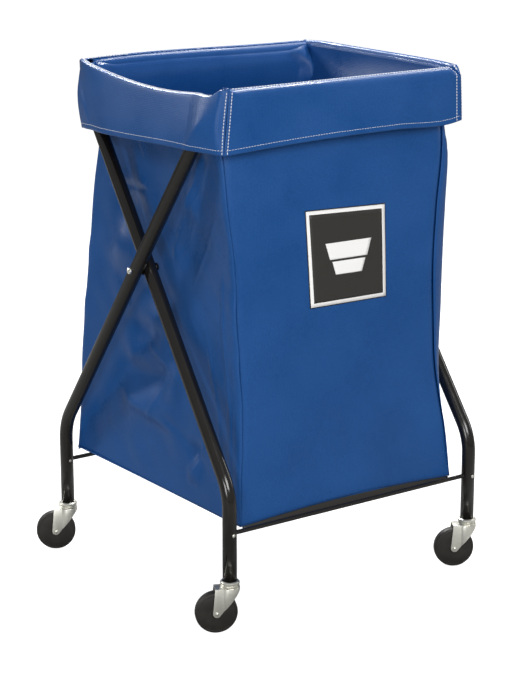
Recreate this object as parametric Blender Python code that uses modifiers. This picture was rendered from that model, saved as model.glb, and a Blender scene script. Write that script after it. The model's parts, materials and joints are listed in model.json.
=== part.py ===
"""Collapsible laundry cart: two crossing tube frames on four swivel casters, holding a sewn vinyl bag.

Metres, +Z up. The side with the label patch faces -Y, and the wheels stand on z = 0. The two frames are alike and
face each other: one has its top bar at the front and its feet at the back, the other the other way round. One is set
over to the left by a tube's width, so that it passes outside the other's tube on the left and inside it on the right.
Both turn on the two pivot bolts where their tubes cross. The bag's top edge is turned down over both top bars.
"""

import math

import bmesh
import bpy
from mathutils import Matrix, Vector

# Driving dimensions, in metres ----------------------------------------------------------------------------------
GAP = 0.0003  # left between pieces that touch

TUBE_RADIUS = 0.0127
TUBE_WALL = 0.0016
FOOT_Y = 0.260  # from the middle to the front legs and to the back legs
FOOT_HALF_WIDTH = 0.2745  # of a frame, at its casters
TOP_HALF_WIDTH = 0.2635  # of a frame, at its top bar
FRAME_STEP = 0.0275  # how far to the left the frame with the front top bar is set
LEG_BOTTOM = 0.0955
KNEE_HEIGHT = 0.257
TOP_BAR_Y = 0.246
TOP_BAR_HEIGHT = 0.941
SHOULDER_RADIUS = 0.080
KNEE_RADIUS = 0.100

ROD_RADIUS = 0.004
ROD_HEIGHT = 0.1817
RIVET_RADIUS = 0.0016
BOLT_RADIUS = 0.004
BOLT_HEAD_RADIUS = 0.0058
BOLT_HEAD_HEIGHT = 0.005

WHEEL_RADIUS = 0.0381
WHEEL_HALF_WIDTH = 0.0103
TRAIL = 0.0245  # from a caster's swivel axis to its axle
FORK_SHEET = 0.002
FORK_HALF_WIDTH = 0.0135
COLLAR_RADIUS = 0.018
STEM_RADIUS = 0.0055
KING_PIN_RADIUS = 0.004
AXLE_RADIUS = 0.003
SWIVEL_DEGREES = {"front_left": 154, "back_left": 150, "front_right": 151, "back_right": 146}

CLOTH = 0.0013
CLOTH_LIFT = 0.0005  # of the cloth over the top bars
BAG_BOTTOM = 0.185
CUFF_BOTTOM = 0.842
FRONT_BOTTOM_Y = -0.2434
BACK_BOTTOM_Y = 0.250
SEAM_HEIGHTS = (BAG_BOTTOM, 0.30, 0.45, 0.60, 0.75, 0.885)
SEAM_X = {  # where the bag's corner seams are at those heights
    "front_left": (-0.2405, -0.2345, -0.2330, -0.2405, -0.2490, -0.2550),
    "front_right": (0.2415, 0.2290, 0.2225, 0.2195, 0.2190, 0.2170),
    "back_left": (-0.2820, -0.2720, -0.2610, -0.2480, -0.2350, -0.2300),
    "back_right": (0.2330, 0.2320, 0.2310, 0.2310, 0.2325, 0.2345),
}
TOP_FOLD_X = {"left": -0.2660, "right": 0.2480}  # how far out the side panels reach at the top
CUFF_CORNER_X = {"front": (-0.280, 0.234), "back": (-0.256, 0.272)}
CUFF_SIDE_X = {  # how far out the cuff's sides are, from the front to the back
    "left": (-0.2820, -0.3095, -0.3095, -0.3095, -0.3085, -0.3030, -0.2860, -0.2580),
    "right": (0.2360, 0.2545, 0.2560, 0.2580, 0.2700, 0.2805, 0.2820, 0.2740),
}
LABEL_LEFT, LABEL_RIGHT = -0.092, 0.083
LABEL_LOW, LABEL_HIGH = 0.554, 0.725
LABEL_THICKNESS = 0.0008

# Where the driving dimensions put things ------------------------------------------------------------------------
PIVOT_HEIGHT = KNEE_HEIGHT + (TOP_BAR_HEIGHT - KNEE_HEIGHT) * FOOT_Y / (FOOT_Y + TOP_BAR_Y)
PIVOT_HALF_WIDTH = FOOT_HALF_WIDTH + (TOP_HALF_WIDTH - FOOT_HALF_WIDTH) * FOOT_Y / (FOOT_Y + TOP_BAR_Y)
CROWN_TOP = LEG_BOTTOM - 0.0117
CROWN_BOTTOM = CROWN_TOP - 0.0026
CLOTH_RADIUS = TUBE_RADIUS + CLOTH_LIFT + CLOTH / 2  # middle of the cloth round a top bar
INSIDE_Y = TOP_BAR_Y - CLOTH_RADIUS
OUTSIDE_Y = TOP_BAR_Y + CLOTH_RADIUS
HANG_HEIGHT = TOP_BAR_HEIGHT - GAP  # top edges of the cloth that hangs from a bar
CORNERS = {
    "front_left": (-1, -1),
    "front_right": (1, -1),
    "back_left": (-1, 1),
    "back_right": (1, 1),
}


# Modelling helpers ----------------------------------------------------------------------------------------------
def clear_scene():
    for old in list(bpy.data.objects):
        bpy.data.objects.remove(old)


def collection(name):
    made = bpy.data.collections.new(name)
    bpy.context.scene.collection.children.link(made)
    return made


def material(name, colour, roughness, metallic=0.0):
    made = bpy.data.materials.new(name)
    made.use_nodes = True
    shader = made.node_tree.nodes["Principled BSDF"]
    shader.inputs["Base Color"].default_value = (*colour, 1.0)
    shader.inputs["Roughness"].default_value = roughness
    shader.inputs["Metallic"].default_value = metallic
    return made


def empty(name, parent, location=(0, 0, 0), turn=0.0):
    """A joint's axis, which the pieces that move about it are parented to."""
    made = bpy.data.objects.new(name, None)
    PARTS.objects.link(made)
    made.parent = parent
    made.location = location
    made.rotation_euler = (0, 0, turn)
    return made


def add(name, data, parent, finish=None, location=(0, 0, 0), rotation=(0, 0, 0), smooth=True):
    """A piece of the cart, or a cutter when it is given no finish."""
    made = bpy.data.objects.new(name, data)
    made.parent = parent
    made.location = location
    made.rotation_euler = rotation
    if finish is None:
        CUTTERS.objects.link(made)
        made.hide_render = True
        made.display_type = "WIRE"
        return made
    PARTS.objects.link(made)
    data.materials.append(finish)
    if smooth and isinstance(data, bpy.types.Mesh):
        data.shade_smooth()
        data.set_sharp_from_angle(angle=math.radians(35))
    return made


def mesh_from(bm, name):
    data = bpy.data.meshes.new(name)
    bm.to_mesh(data)
    bm.free()
    return data


def boolean(piece, other, operation="DIFFERENCE"):
    change = piece.modifiers.new(operation.lower() + "_" + other.name, "BOOLEAN")
    change.object = other
    change.operation = operation
    change.solver = "EXACT"


def cylinder(name, radius, start, end, segments, parent, finish=None):
    """A round bar between two points, or the cutter of a round hole."""
    start, end = Vector(start), Vector(end)
    along = end - start
    bm = bmesh.new()
    bmesh.ops.create_cone(
        bm, cap_ends=True, segments=segments, radius1=radius, radius2=radius, depth=along.length
    )
    turn = along.to_track_quat("Z", "Y").to_matrix().to_4x4() @ Matrix.Rotation(math.radians(8), 4, "Z")
    bmesh.ops.transform(bm, matrix=Matrix.Translation((start + end) / 2) @ turn, verts=bm.verts)
    return add(name, mesh_from(bm, name), parent, finish)


def turned(name, profile, steps, parent, finish, location=(0, 0, 0), rotation=(0, 0, 0), ring=False):
    """A lathe-turned piece. The profile's (radius, height) points run down its outer side."""
    bm = bmesh.new()
    points = [bm.verts.new((radius, 0, height)) for radius, height in profile]
    for first, second in zip(points, points[1:] + points[:1] if ring else points[1:]):
        bm.edges.new((first, second))
    made = add(name, mesh_from(bm, name), parent, finish, location, rotation, smooth=False)
    screw = made.modifiers.new("turn", "SCREW")
    screw.steps = screw.render_steps = steps
    screw.use_merge_vertices = True
    screw.merge_threshold = 0.00001
    screw.use_smooth_shade = False
    return made


def rounded_path(corners, radii, steps):
    """A bent tube's centreline: straight runs between the corners, and an arc of the bending radius at each."""
    path = [corners[0]]
    for before, corner, after, radius in zip(corners, corners[1:], corners[2:], radii):
        back, ahead = (before - corner).normalized(), (after - corner).normalized()
        half = back.angle(ahead) / 2
        centre = corner + (back + ahead).normalized() * radius / math.sin(half)
        start = corner + back * radius / math.tan(half) - centre
        end = corner + ahead * radius / math.tan(half) - centre
        for step in range(steps + 1):
            turn = Matrix.Rotation((math.pi - 2 * half) * step / steps, 3, start.cross(end))
            path.append(centre + turn @ start)
    path.append(corners[-1])
    return path


def bent_tube(name, path, radius, parent, finish):
    """An open tube of the given outer radius along the path, with a wall of real thickness."""
    curve = bpy.data.curves.new(name + "_line", "CURVE")
    curve.dimensions = "3D"
    curve.bevel_depth = radius
    curve.bevel_resolution = 4
    spline = curve.splines.new("POLY")
    spline.points.add(len(path) - 1)
    for point, place in zip(spline.points, path):
        point.co = (*place, 1)
    line = bpy.data.objects.new(name + "_line", curve)
    PARTS.objects.link(line)
    bpy.context.view_layer.update()
    data = bpy.data.meshes.new_from_object(line.evaluated_get(bpy.context.evaluated_depsgraph_get()))
    bpy.data.objects.remove(line)
    data.materials.clear()
    made = add(name, data, parent, finish)
    wall = made.modifiers.new("wall", "SOLIDIFY")
    wall.thickness = TUBE_WALL
    wall.offset = -1
    return made


def outline(name, points, low, high, parent, rotation=(0, 0, 0)):
    """A flat outline given thickness from low to high along its own Z, as a cutter or a blank."""
    curve = bpy.data.curves.new(name + "_line", "CURVE")
    curve.dimensions = "2D"
    curve.fill_mode = "BOTH"
    curve.extrude = (high - low) / 2
    spline = curve.splines.new("POLY")
    spline.points.add(len(points) - 1)
    for point, (x, y) in zip(spline.points, points):
        point.co = (x, y, 0, 1)
    spline.use_cyclic_u = True
    flat = bpy.data.objects.new(name + "_line", curve)
    CUTTERS.objects.link(flat)
    bpy.context.view_layer.update()
    data = bpy.data.meshes.new_from_object(flat.evaluated_get(bpy.context.evaluated_depsgraph_get()))
    bpy.data.objects.remove(flat)
    bm = bmesh.new()
    bm.from_mesh(data)
    bmesh.ops.remove_doubles(bm, verts=bm.verts, dist=0.000001)
    bmesh.ops.translate(bm, verts=bm.verts, vec=(0, 0, (low + high) / 2))
    bpy.data.meshes.remove(data)
    return add(name, mesh_from(bm, name), parent, None, rotation=rotation)


def cloth(name, columns, parent, finish):
    """A sheet through the given columns of points, with the cloth's thickness half to each side."""
    across, up = len(columns) - 1, len(columns[0]) - 1
    bm = bmesh.new()
    bmesh.ops.create_grid(bm, x_segments=across, y_segments=up, size=1)
    for vert in bm.verts:
        column = round((vert.co.x + 1) / 2 * across)
        row = round((vert.co.y + 1) / 2 * up)
        vert.co = columns[column][row]
    made = add(name, mesh_from(bm, name), parent, finish)
    sheet = made.modifiers.new("sheet", "SOLIDIFY")
    sheet.thickness = CLOTH
    sheet.offset = 0
    return made


# The frames -----------------------------------------------------------------------------------------------------
def tube_frame(name, middle_x, foot_y, top_y, parent):
    """One U-shaped frame: leg, knee, shoulder, top bar, shoulder, knee and leg in one tube."""
    foot_x, top_x = FOOT_HALF_WIDTH, TOP_HALF_WIDTH
    corners = [
        Vector((middle_x - foot_x, foot_y, LEG_BOTTOM)),
        Vector((middle_x - foot_x, foot_y, KNEE_HEIGHT)),
        Vector((middle_x - top_x, top_y, TOP_BAR_HEIGHT)),
        Vector((middle_x + top_x, top_y, TOP_BAR_HEIGHT)),
        Vector((middle_x + foot_x, foot_y, KNEE_HEIGHT)),
        Vector((middle_x + foot_x, foot_y, LEG_BOTTOM)),
    ]
    radii = [KNEE_RADIUS, SHOULDER_RADIUS, SHOULDER_RADIUS, KNEE_RADIUS]
    from_pivot = [corner - Vector((0, 0, PIVOT_HEIGHT)) for corner in corners]
    return bent_tube(name, rounded_path(from_pivot, radii, 6), TUBE_RADIUS, parent, BLACK_PAINT)


def crossed_by(frame, name, radius, start, end):
    """Drills a round hole through a frame, from start to end."""
    boolean(frame, cylinder("drill_" + name, radius, start, end, 16, frame.parent))


def rod_between_legs(name, frame, middle_x, foot_y, parent):
    """The thin rod low between a frame's legs. Its ends sit inside them, each held by a rivet through the leg."""
    height = ROD_HEIGHT - PIVOT_HEIGHT
    reach = FOOT_HALF_WIDTH + 0.005
    ends = (middle_x - reach, foot_y, height), (middle_x + reach, foot_y, height)
    rod = cylinder(name, ROD_RADIUS, *ends, 12, parent, BLACK_PAINT)
    front_or_back = "front" if foot_y < 0 else "back"
    for side, sign in (("left", -1), ("right", 1)):
        where = front_or_back + "_" + side
        far = middle_x + sign * FOOT_HALF_WIDTH
        near = far - sign * 2 * TUBE_RADIUS
        hollow = far + sign * 0.006
        crossed_by(frame, "rod_" + where, ROD_RADIUS + GAP, (near, foot_y, height), (hollow, foot_y, height))
        reach_y = TUBE_RADIUS + 0.004
        low, high = (far, foot_y - reach_y, height), (far, foot_y + reach_y, height)
        crossed_by(frame, "rivet_" + where, RIVET_RADIUS + GAP, low, high)
        boolean(rod, cylinder("drill_rod_" + where, RIVET_RADIUS + GAP, low, high, 12, parent))
        face = TUBE_RADIUS + 0.0002
        profile = [
            (0, face + 0.0016),
            (RIVET_RADIUS, face + 0.0014),
            (2 * RIVET_RADIUS, face + 0.0006),
            (2 * RIVET_RADIUS, face),
            (RIVET_RADIUS, face),
            (RIVET_RADIUS, -face),
            (1.7 * RIVET_RADIUS, -face),
            (1.7 * RIVET_RADIUS, -face - 0.0006),
            (0, -face - 0.0012),
        ]
        outward = math.radians(90 if foot_y < 0 else -90)
        turned("rod_rivet_" + where, profile, 12, parent, ZINC, (far, foot_y, height), (outward, 0, 0))


def pivot(side, sign, inner_x, frames):
    """The bolt, washer and round nut where the two frames' tubes cross on one side. inner_x is the inner tube's."""
    outer_face = inner_x + FRAME_STEP + TUBE_RADIUS + GAP
    inner_face = inner_x - TUBE_RADIUS - GAP
    head = [
        (0, outer_face + BOLT_HEAD_HEIGHT),
        (0.6 * BOLT_HEAD_RADIUS, outer_face + 0.94 * BOLT_HEAD_HEIGHT),
        (0.95 * BOLT_HEAD_RADIUS, outer_face + 0.7 * BOLT_HEAD_HEIGHT),
        (BOLT_HEAD_RADIUS, outer_face + 0.4 * BOLT_HEAD_HEIGHT),
        (BOLT_HEAD_RADIUS, outer_face),
        (BOLT_RADIUS, outer_face),
        (BOLT_RADIUS, inner_face - 0.0032),
        (0, inner_face - 0.0032),
    ]
    along_x = (0, sign * math.pi / 2, 0)
    turned("pivot_bolt_" + side, head, 16, FOLD_AXIS, ZINC, rotation=along_x)
    middle = inner_x + FRAME_STEP / 2
    half = FRAME_STEP / 2 - TUBE_RADIUS - GAP
    washer = [
        (BOLT_RADIUS + GAP, middle + half),
        (0.011, middle + half),
        (0.011, middle - half),
        (BOLT_RADIUS + GAP, middle - half),
    ]
    turned("pivot_washer_" + side, washer, 20, FOLD_AXIS, ZINC, rotation=along_x, ring=True)
    nut = [
        (BOLT_RADIUS + GAP, inner_face),
        (0.0075, inner_face),
        (0.0075, inner_face - 0.003),
        (BOLT_RADIUS + GAP, inner_face - 0.003),
    ]
    turned("pivot_nut_" + side, nut, 16, FOLD_AXIS, ZINC, rotation=along_x, ring=True)
    for frame in frames:
        ends = (sign * (inner_x - 0.03), 0, 0), (sign * (inner_x + 0.06), 0, 0)
        crossed_by(frame, frame.name + "_" + side, BOLT_RADIUS + GAP, *ends)


# The casters ----------------------------------------------------------------------------------------------------
def caster_outlines():
    """A fork's plan, outside and inside its sheet, and its side view, with x the way the wheel trails."""
    def plan(radius, half_width, back):
        meet = math.asin(half_width / radius)
        turns = [meet + (2 * math.pi - 2 * meet) * step / 24 for step in range(25)]
        collar = [(radius * math.cos(turn), radius * math.sin(turn)) for turn in turns]
        return [(back, half_width), *collar, (back, -half_width)]

    boss = 0.0072
    side = [(0.0275, CROWN_TOP)]
    side += [
        (TRAIL + boss * math.cos(turn), WHEEL_RADIUS + boss * math.sin(turn))
        for turn in (math.radians(4 - 154 * step / 8) for step in range(9))
    ]
    side += [(-0.0075, 0.067), (-COLLAR_RADIUS - 0.001, CROWN_BOTTOM), (-COLLAR_RADIUS - 0.001, CROWN_TOP)]
    outside = plan(COLLAR_RADIUS, FORK_HALF_WIDTH, 0.040)
    inside = plan(COLLAR_RADIUS - FORK_SHEET, FORK_HALF_WIDTH - FORK_SHEET, 0.042)
    return outside, inside, side


def caster_fork(where, axis):
    """The stamped fork: a drawn collar and two side plates, cut to its side view and drilled for pin and axle."""
    outside, inside, side = caster_outlines()
    blank = outline("blank_" + where, outside, 0.028, CROWN_TOP, axis)
    hollow = outline("hollow_" + where, inside, 0.020, CROWN_BOTTOM, axis)
    view = outline("side_view_" + where, side, -0.03, 0.03, axis, rotation=(math.pi / 2, 0, 0))
    pin_hole = cylinder(
        "drill_king_pin_" + where, KING_PIN_RADIUS + GAP, (0, 0, 0.07), (0, 0, 0.10), 16, axis
    )
    axle_hole = cylinder(
        "drill_axle_" + where,
        AXLE_RADIUS + GAP,
        (TRAIL, -0.03, WHEEL_RADIUS),
        (TRAIL, 0.03, WHEEL_RADIUS),
        12,
        axis,
    )
    fork = add("caster_fork_" + where, blank.data.copy(), axis, ZINC)
    bpy.data.objects.remove(blank)
    boolean(fork, hollow)
    boolean(fork, view, "INTERSECT")
    boolean(fork, pin_hole)
    boolean(fork, axle_hole)


def caster_stem(where, leg_axis):
    """The fixed half: the stem in the leg's socket, the upper cup, and the king pin that carries the fork."""
    top = LEG_BOTTOM - GAP
    stem = [
        (0, LEG_BOTTOM + 0.036),
        (0.7 * STEM_RADIUS, LEG_BOTTOM + 0.036),
        (STEM_RADIUS, LEG_BOTTOM + 0.033),
        (STEM_RADIUS, top),
        (0.0155, top),
        (0.0173, top - 0.0015),
        (0.0173, top - 0.0045),
        (0.0160, top - 0.0060),
        (KING_PIN_RADIUS, top - 0.0060),
        (KING_PIN_RADIUS, CROWN_BOTTOM - GAP),
        (0.0065, CROWN_BOTTOM - GAP),
        (0.0060, CROWN_BOTTOM - 0.0022),
        (0, CROWN_BOTTOM - 0.0026),
    ]
    turned("caster_stem_" + where, stem, 20, leg_axis, ZINC)
    inside = TUBE_RADIUS - TUBE_WALL - 2 * GAP
    socket = [
        (STEM_RADIUS + GAP, LEG_BOTTOM + 0.040),
        (inside, LEG_BOTTOM + 0.040),
        (inside, LEG_BOTTOM + GAP),
        (STEM_RADIUS + GAP, LEG_BOTTOM + GAP),
    ]
    turned("stem_socket_" + where, socket, 16, leg_axis, BLACK_PLASTIC, ring=True)


def caster(where, foot, frame_axis):
    """One swivel caster under a leg: fixed stem, swivelling fork and race, and the wheel on its axle."""
    leg_axis = empty("axis_leg_" + where, frame_axis, foot - frame_axis.location)
    caster_stem(where, leg_axis)
    swivel = empty("axis_swivel_" + where, leg_axis, turn=math.radians(SWIVEL_DEGREES[where]))
    caster_fork(where, swivel)
    race = [
        (KING_PIN_RADIUS + GAP, CROWN_TOP + 0.0048),
        (0.0150, CROWN_TOP + 0.0048),
        (0.0168, CROWN_TOP + 0.0035),
        (0.0168, CROWN_TOP + GAP),
        (KING_PIN_RADIUS + GAP, CROWN_TOP + GAP),
    ]
    turned("ball_race_" + where, race, 20, swivel, ZINC, ring=True)
    wheel_axis = empty("axis_wheel_" + where, swivel, (TRAIL, 0, WHEEL_RADIUS))
    across = (math.pi / 2, 0, 0)
    head_face = FORK_HALF_WIDTH + GAP
    axle = [
        (0, head_face + 0.0018),
        (0.0030, head_face + 0.0016),
        (0.0042, head_face + 0.0006),
        (0.0042, head_face),
        (AXLE_RADIUS, head_face),
        (AXLE_RADIUS, -head_face),
        (0.0042, -head_face),
        (0.0042, -head_face - 0.0006),
        (0.0030, -head_face - 0.0016),
        (0, -head_face - 0.0018),
    ]
    turned("wheel_axle_" + where, axle, 12, swivel, ZINC, (TRAIL, 0, WHEEL_RADIUS), across)
    half = WHEEL_HALF_WIDTH
    upper = [
        (AXLE_RADIUS + GAP, half + 0.0007),
        (0.0095, half + 0.0007),
        (0.0110, half - 0.0010),
        (0.0325, half - 0.0006),
        (0.0340, half - 0.0016),
        (0.0352, half - 0.0004),
        (WHEEL_RADIUS - 0.0012, half - 0.0008),
        (WHEEL_RADIUS, half - 0.0035),
    ]
    wheel = upper + [(radius, -height) for radius, height in reversed(upper)]
    turned("caster_wheel_" + where, wheel, 32, wheel_axis, RUBBER, rotation=across, ring=True)


# The bag --------------------------------------------------------------------------------------------------------
def share_up(height):
    """0 at the bag's floor and 1 at the top bars."""
    return (height - BAG_BOTTOM) / (HANG_HEIGHT - BAG_BOTTOM)


def front_y(height):
    return FRONT_BOTTOM_Y + (-INSIDE_Y - FRONT_BOTTOM_Y) * share_up(height)


def back_y(height):
    return BACK_BOTTOM_Y + (INSIDE_Y - BACK_BOTTOM_Y) * share_up(height)


def seam_x(corner, height):
    """Where a corner seam of the bag is at a height."""
    heights, places = SEAM_HEIGHTS, SEAM_X[corner]
    for low, high, first, second in zip(heights, heights[1:], places, places[1:]):
        if height <= high:
            return first + (second - first) * (height - low) / (high - low)
    return places[-1]


def bag_panels(bag):
    """Five sewn panels. Their top corners are cut back to pass inside the frames' rounded shoulders."""
    seam = CLOTH + GAP
    shoulder = HANG_HEIGHT - 0.056
    for end, y_at in (("front", front_y), ("back", back_y)):
        columns = []
        for share, top in ((0, shoulder), (0.15, HANG_HEIGHT), (0.85, HANG_HEIGHT), (1, shoulder)):
            column = []
            for h in (*SEAM_HEIGHTS[:-1], top):
                left, right = seam_x(end + "_left", h), seam_x(end + "_right", h)
                column.append(Vector((left + (right - left) * share, y_at(h), h)))
            columns.append(column)
        cloth("bag_" + end + "_panel", columns, bag, VINYL)
    for side, sign in (("left", -1), ("right", 1)):
        columns = []
        for share, top, flared in (
            (0, shoulder, 0),
            (0.13, HANG_HEIGHT, 0),
            (0.31, HANG_HEIGHT, 1),
            (0.69, HANG_HEIGHT, 1),
            (0.87, HANG_HEIGHT, 0),
            (1, shoulder, 0),
        ):
            column = []
            for h in (*SEAM_HEIGHTS[:-1], 0.86, top):
                front = Vector((seam_x("front_" + side, h) - sign * seam, front_y(h) + seam, h))
                back = Vector((seam_x("back_" + side, h) - sign * seam, back_y(h) - seam, h))
                point = front.lerp(back, share)
                if flared and h == top:
                    point.x = TOP_FOLD_X[side]
                column.append(point)
            columns.append(column)
        cloth("bag_" + side + "_panel", columns, bag, VINYL)
    floor = []
    for side, sign in (("left", -1), ("right", 1)):
        front_x, back_x = SEAM_X["front_" + side][0], SEAM_X["back_" + side][0]
        front = Vector((front_x - sign * 2 * seam, FRONT_BOTTOM_Y + 2 * seam, BAG_BOTTOM))
        back = Vector((back_x - sign * 2 * seam, BACK_BOTTOM_Y - 2 * seam, BAG_BOTTOM))
        floor.append([front, back])
    cloth("bag_floor_panel", floor, bag, VINYL)


def cuff(bag):
    """The turned-down top of the bag. Front and back hang from the bars; the sides bulge out over the tubes."""
    for end, sign in (("front", -1), ("back", 1)):
        columns = []
        left, right = CUFF_CORNER_X[end]
        for x in (left, left + 0.07, right - 0.07, right):
            columns.append([Vector((x, sign * OUTSIDE_Y, h)) for h in (CUFF_BOTTOM, HANG_HEIGHT)])
        cloth("cuff_" + end, columns, bag, VINYL)
    reach = OUTSIDE_Y - 0.001
    rows = (-reach, -0.222, -0.150, -0.085, 0.085, 0.150, 0.222, reach)
    tops = (0.925, 0.930, 0.935, HANG_HEIGHT + 0.002)
    for side, sign in (("left", -1), ("right", 1)):
        columns = []
        for y, x, high in zip(rows, CUFF_SIDE_X[side], tops + tops[::-1]):
            top_x = x
            if abs(y) == 0.085:
                top_x = TOP_FOLD_X[side] + sign * 0.003
            elif abs(y) == 0.150:
                top_x = x - sign * 0.004
            columns.append([Vector((x, y, CUFF_BOTTOM)), Vector((top_x, y, high))])
        cloth("cuff_" + side, columns, bag, VINYL)


def cloth_over_bar(name, middle_x, bar_y, parent):
    """The strip of the bag that is turned over a top bar and moves with it."""
    columns = []
    for x in (middle_x - 0.17, middle_x, middle_x + 0.17):
        column = []
        for step in range(9):
            turn = math.pi * step / 8
            y = bar_y - CLOTH_RADIUS * math.cos(turn)
            z = TOP_BAR_HEIGHT + CLOTH_RADIUS * math.sin(turn) + GAP
            column.append(Vector((x, y, z)) - parent.location)
        columns.append(column)
    cloth(name, columns, parent, VINYL)


def label(bag):
    """The square patch sewn on the front panel."""
    lift = CLOTH / 2 + GAP + LABEL_THICKNESS / 2
    columns = []
    for x in (LABEL_LEFT, LABEL_RIGHT):
        columns.append([Vector((x, front_y(h) - lift, h)) for h in (LABEL_LOW, LABEL_HIGH)])
    patch = cloth("label_patch", columns, bag, LABEL_VINYL)
    patch.modifiers["sheet"].thickness = LABEL_THICKNESS


def centre_on_box(cart):
    """Puts the origin under the middle of the whole cart's box. The casters trail to one side of the frames."""
    bpy.context.view_layer.update()
    graph = bpy.context.evaluated_depsgraph_get()
    points = []
    for piece in PARTS.objects:
        if piece.type == "MESH":
            shape = piece.evaluated_get(graph)
            points += [shape.matrix_world @ vert.co for vert in shape.data.vertices]
    for axis in (0, 1):
        values = [point[axis] for point in points]
        cart.location[axis] = -(min(values) + max(values)) / 2
    bpy.context.view_layer.update()


clear_scene()
PARTS = collection("laundry_cart")
CUTTERS = collection("cutters")
BLACK_PAINT = material("black_paint", (0.012, 0.011, 0.010), 0.28)
ZINC = material("zinc_plate", (0.66, 0.66, 0.62), 0.32, 1.0)
RUBBER = material("black_rubber", (0.022, 0.020, 0.020), 0.60)
BLACK_PLASTIC = material("black_plastic", (0.020, 0.020, 0.020), 0.50)
VINYL = material("blue_vinyl", (0.020, 0.085, 0.270), 0.45)
LABEL_VINYL = material("label_vinyl", (0.030, 0.028, 0.028), 0.40)

CART = empty("cart", None)
FOLD_AXIS = empty("axis_fold", CART, (0, 0, PIVOT_HEIGHT))
FRONT_BAR_AXIS = empty("axis_front_bar_frame", CART, (0, 0, PIVOT_HEIGHT))
BACK_BAR_AXIS = empty("axis_back_bar_frame", CART, (0, 0, PIVOT_HEIGHT))
BAG = empty("axis_bag", CART)

FRAMES = (
    tube_frame("front_bar_frame", -FRAME_STEP, FOOT_Y, -TOP_BAR_Y, FRONT_BAR_AXIS),
    tube_frame("back_bar_frame", 0, -FOOT_Y, TOP_BAR_Y, BACK_BAR_AXIS),
)
rod_between_legs("back_rod", FRAMES[0], -FRAME_STEP, FOOT_Y, FRONT_BAR_AXIS)
rod_between_legs("front_rod", FRAMES[1], 0, -FOOT_Y, BACK_BAR_AXIS)
pivot("left", -1, PIVOT_HALF_WIDTH, FRAMES)
pivot("right", 1, PIVOT_HALF_WIDTH - FRAME_STEP, FRAMES)
for corner_name, (x_sign, y_sign) in CORNERS.items():
    if y_sign > 0:
        middle, axis = -FRAME_STEP, FRONT_BAR_AXIS
    else:
        middle, axis = 0, BACK_BAR_AXIS
    leg_foot = Vector((middle + x_sign * FOOT_HALF_WIDTH, y_sign * FOOT_Y, 0))
    caster(corner_name, leg_foot, axis)
bag_panels(BAG)
cuff(BAG)
cloth_over_bar("cloth_over_front_bar", -FRAME_STEP, -TOP_BAR_Y, FRONT_BAR_AXIS)
cloth_over_bar("cloth_over_back_bar", 0, TOP_BAR_Y, BACK_BAR_AXIS)
label(BAG)
centre_on_box(CART)
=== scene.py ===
"""The looks of a folding laundry cart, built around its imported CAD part.

Lengths are in metres. The bag is modelled with x across the label face, y from front to back and z up,
measured from the floor under the pivot bolts. place() carries that to the part's own frame. The side
with the label faces -Y, and left and right are as seen from there.
"""

import json
import math

import bmesh
import bpy
import numpy as np
from mathutils import Matrix, Vector


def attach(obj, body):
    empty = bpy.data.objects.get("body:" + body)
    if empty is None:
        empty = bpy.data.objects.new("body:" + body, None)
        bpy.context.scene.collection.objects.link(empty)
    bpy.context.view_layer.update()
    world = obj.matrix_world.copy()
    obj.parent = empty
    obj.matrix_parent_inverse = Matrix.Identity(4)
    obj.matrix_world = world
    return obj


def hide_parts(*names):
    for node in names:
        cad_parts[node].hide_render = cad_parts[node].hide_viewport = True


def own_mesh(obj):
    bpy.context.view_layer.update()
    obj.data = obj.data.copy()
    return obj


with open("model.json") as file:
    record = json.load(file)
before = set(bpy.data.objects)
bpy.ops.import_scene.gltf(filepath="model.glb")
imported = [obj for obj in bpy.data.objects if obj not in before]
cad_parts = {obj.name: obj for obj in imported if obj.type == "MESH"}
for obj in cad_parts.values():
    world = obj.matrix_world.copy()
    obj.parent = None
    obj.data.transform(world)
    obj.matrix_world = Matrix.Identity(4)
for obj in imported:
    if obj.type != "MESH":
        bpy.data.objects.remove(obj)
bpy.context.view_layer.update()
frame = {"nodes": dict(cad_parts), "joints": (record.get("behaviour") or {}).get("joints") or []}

# Sizes ----------------------------------------------------
TUBE_RADIUS = 0.0127
TUBE_WALL = 0.0016
FOOT_Y = 0.26
FOOT_HALF_WIDTH = 0.2745
TOP_HALF_WIDTH = 0.2635
FRAME_STEP = 0.0275
LEG_BOTTOM = 0.0955
KNEE_HEIGHT = 0.257
TOP_BAR_Y = 0.246
TOP_BAR_HEIGHT = 0.941
SHOULDER_RADIUS = 0.08
KNEE_RADIUS = 0.1
WHEEL_RADIUS = 0.0381
TRAIL = 0.0245
CROWN_TOP = 0.0838
CROWN_BOTTOM = 0.0812
SWIVEL_DEGREES = {"front_left": 154, "back_left": 150, "front_right": 151, "back_right": 146}
CORNERS = {"front_left": (-1, -1), "front_right": (1, -1), "back_left": (-1, 1), "back_right": (1, 1)}

CLOTH = 0.0011
PANEL_TURN = 0.0151  # the radius at which the panels turn over the top bars, and the cuff over them
CUFF_TURN = 0.0163
CORNER_WIDTH = 0.0145  # at the bag's corners those turns are flatter: their width and their height
CORNER_HEIGHT = 0.005
TURN_ROWS = 15
RIM_LAP = 0.0012  # how far the panels' top lies under the cuff's rim
PANEL_ROWS = 120
CUFF_ROWS = 72
CUFF_FRONT, CUFF_BACK = -0.26, 0.256  # the y of the cuff's corners
FOOT_HEIGHT = 0.182  # the bag's front bottom edge: its corners' height, its left end and its width
FOOT_LEFT, FOOT_WIDTH = -0.2403, 0.483
STITCH_LIFT = 0.0008

FOLD_KEEP_INSIDE = 0.446
FOLD_DEGREES = 20
FOLD_RISE = 0.0645  # how far the bag goes up as the frames fold about the pivots, and the casters down
BARS = ["front_bar_frame", "back_bar_frame"]

PIVOT = Vector(next(j["pos_m"] for j in frame["joints"] if j["name"] == "fold"))
SHIFT = Vector((PIVOT.x, PIVOT.y, 0))


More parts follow.
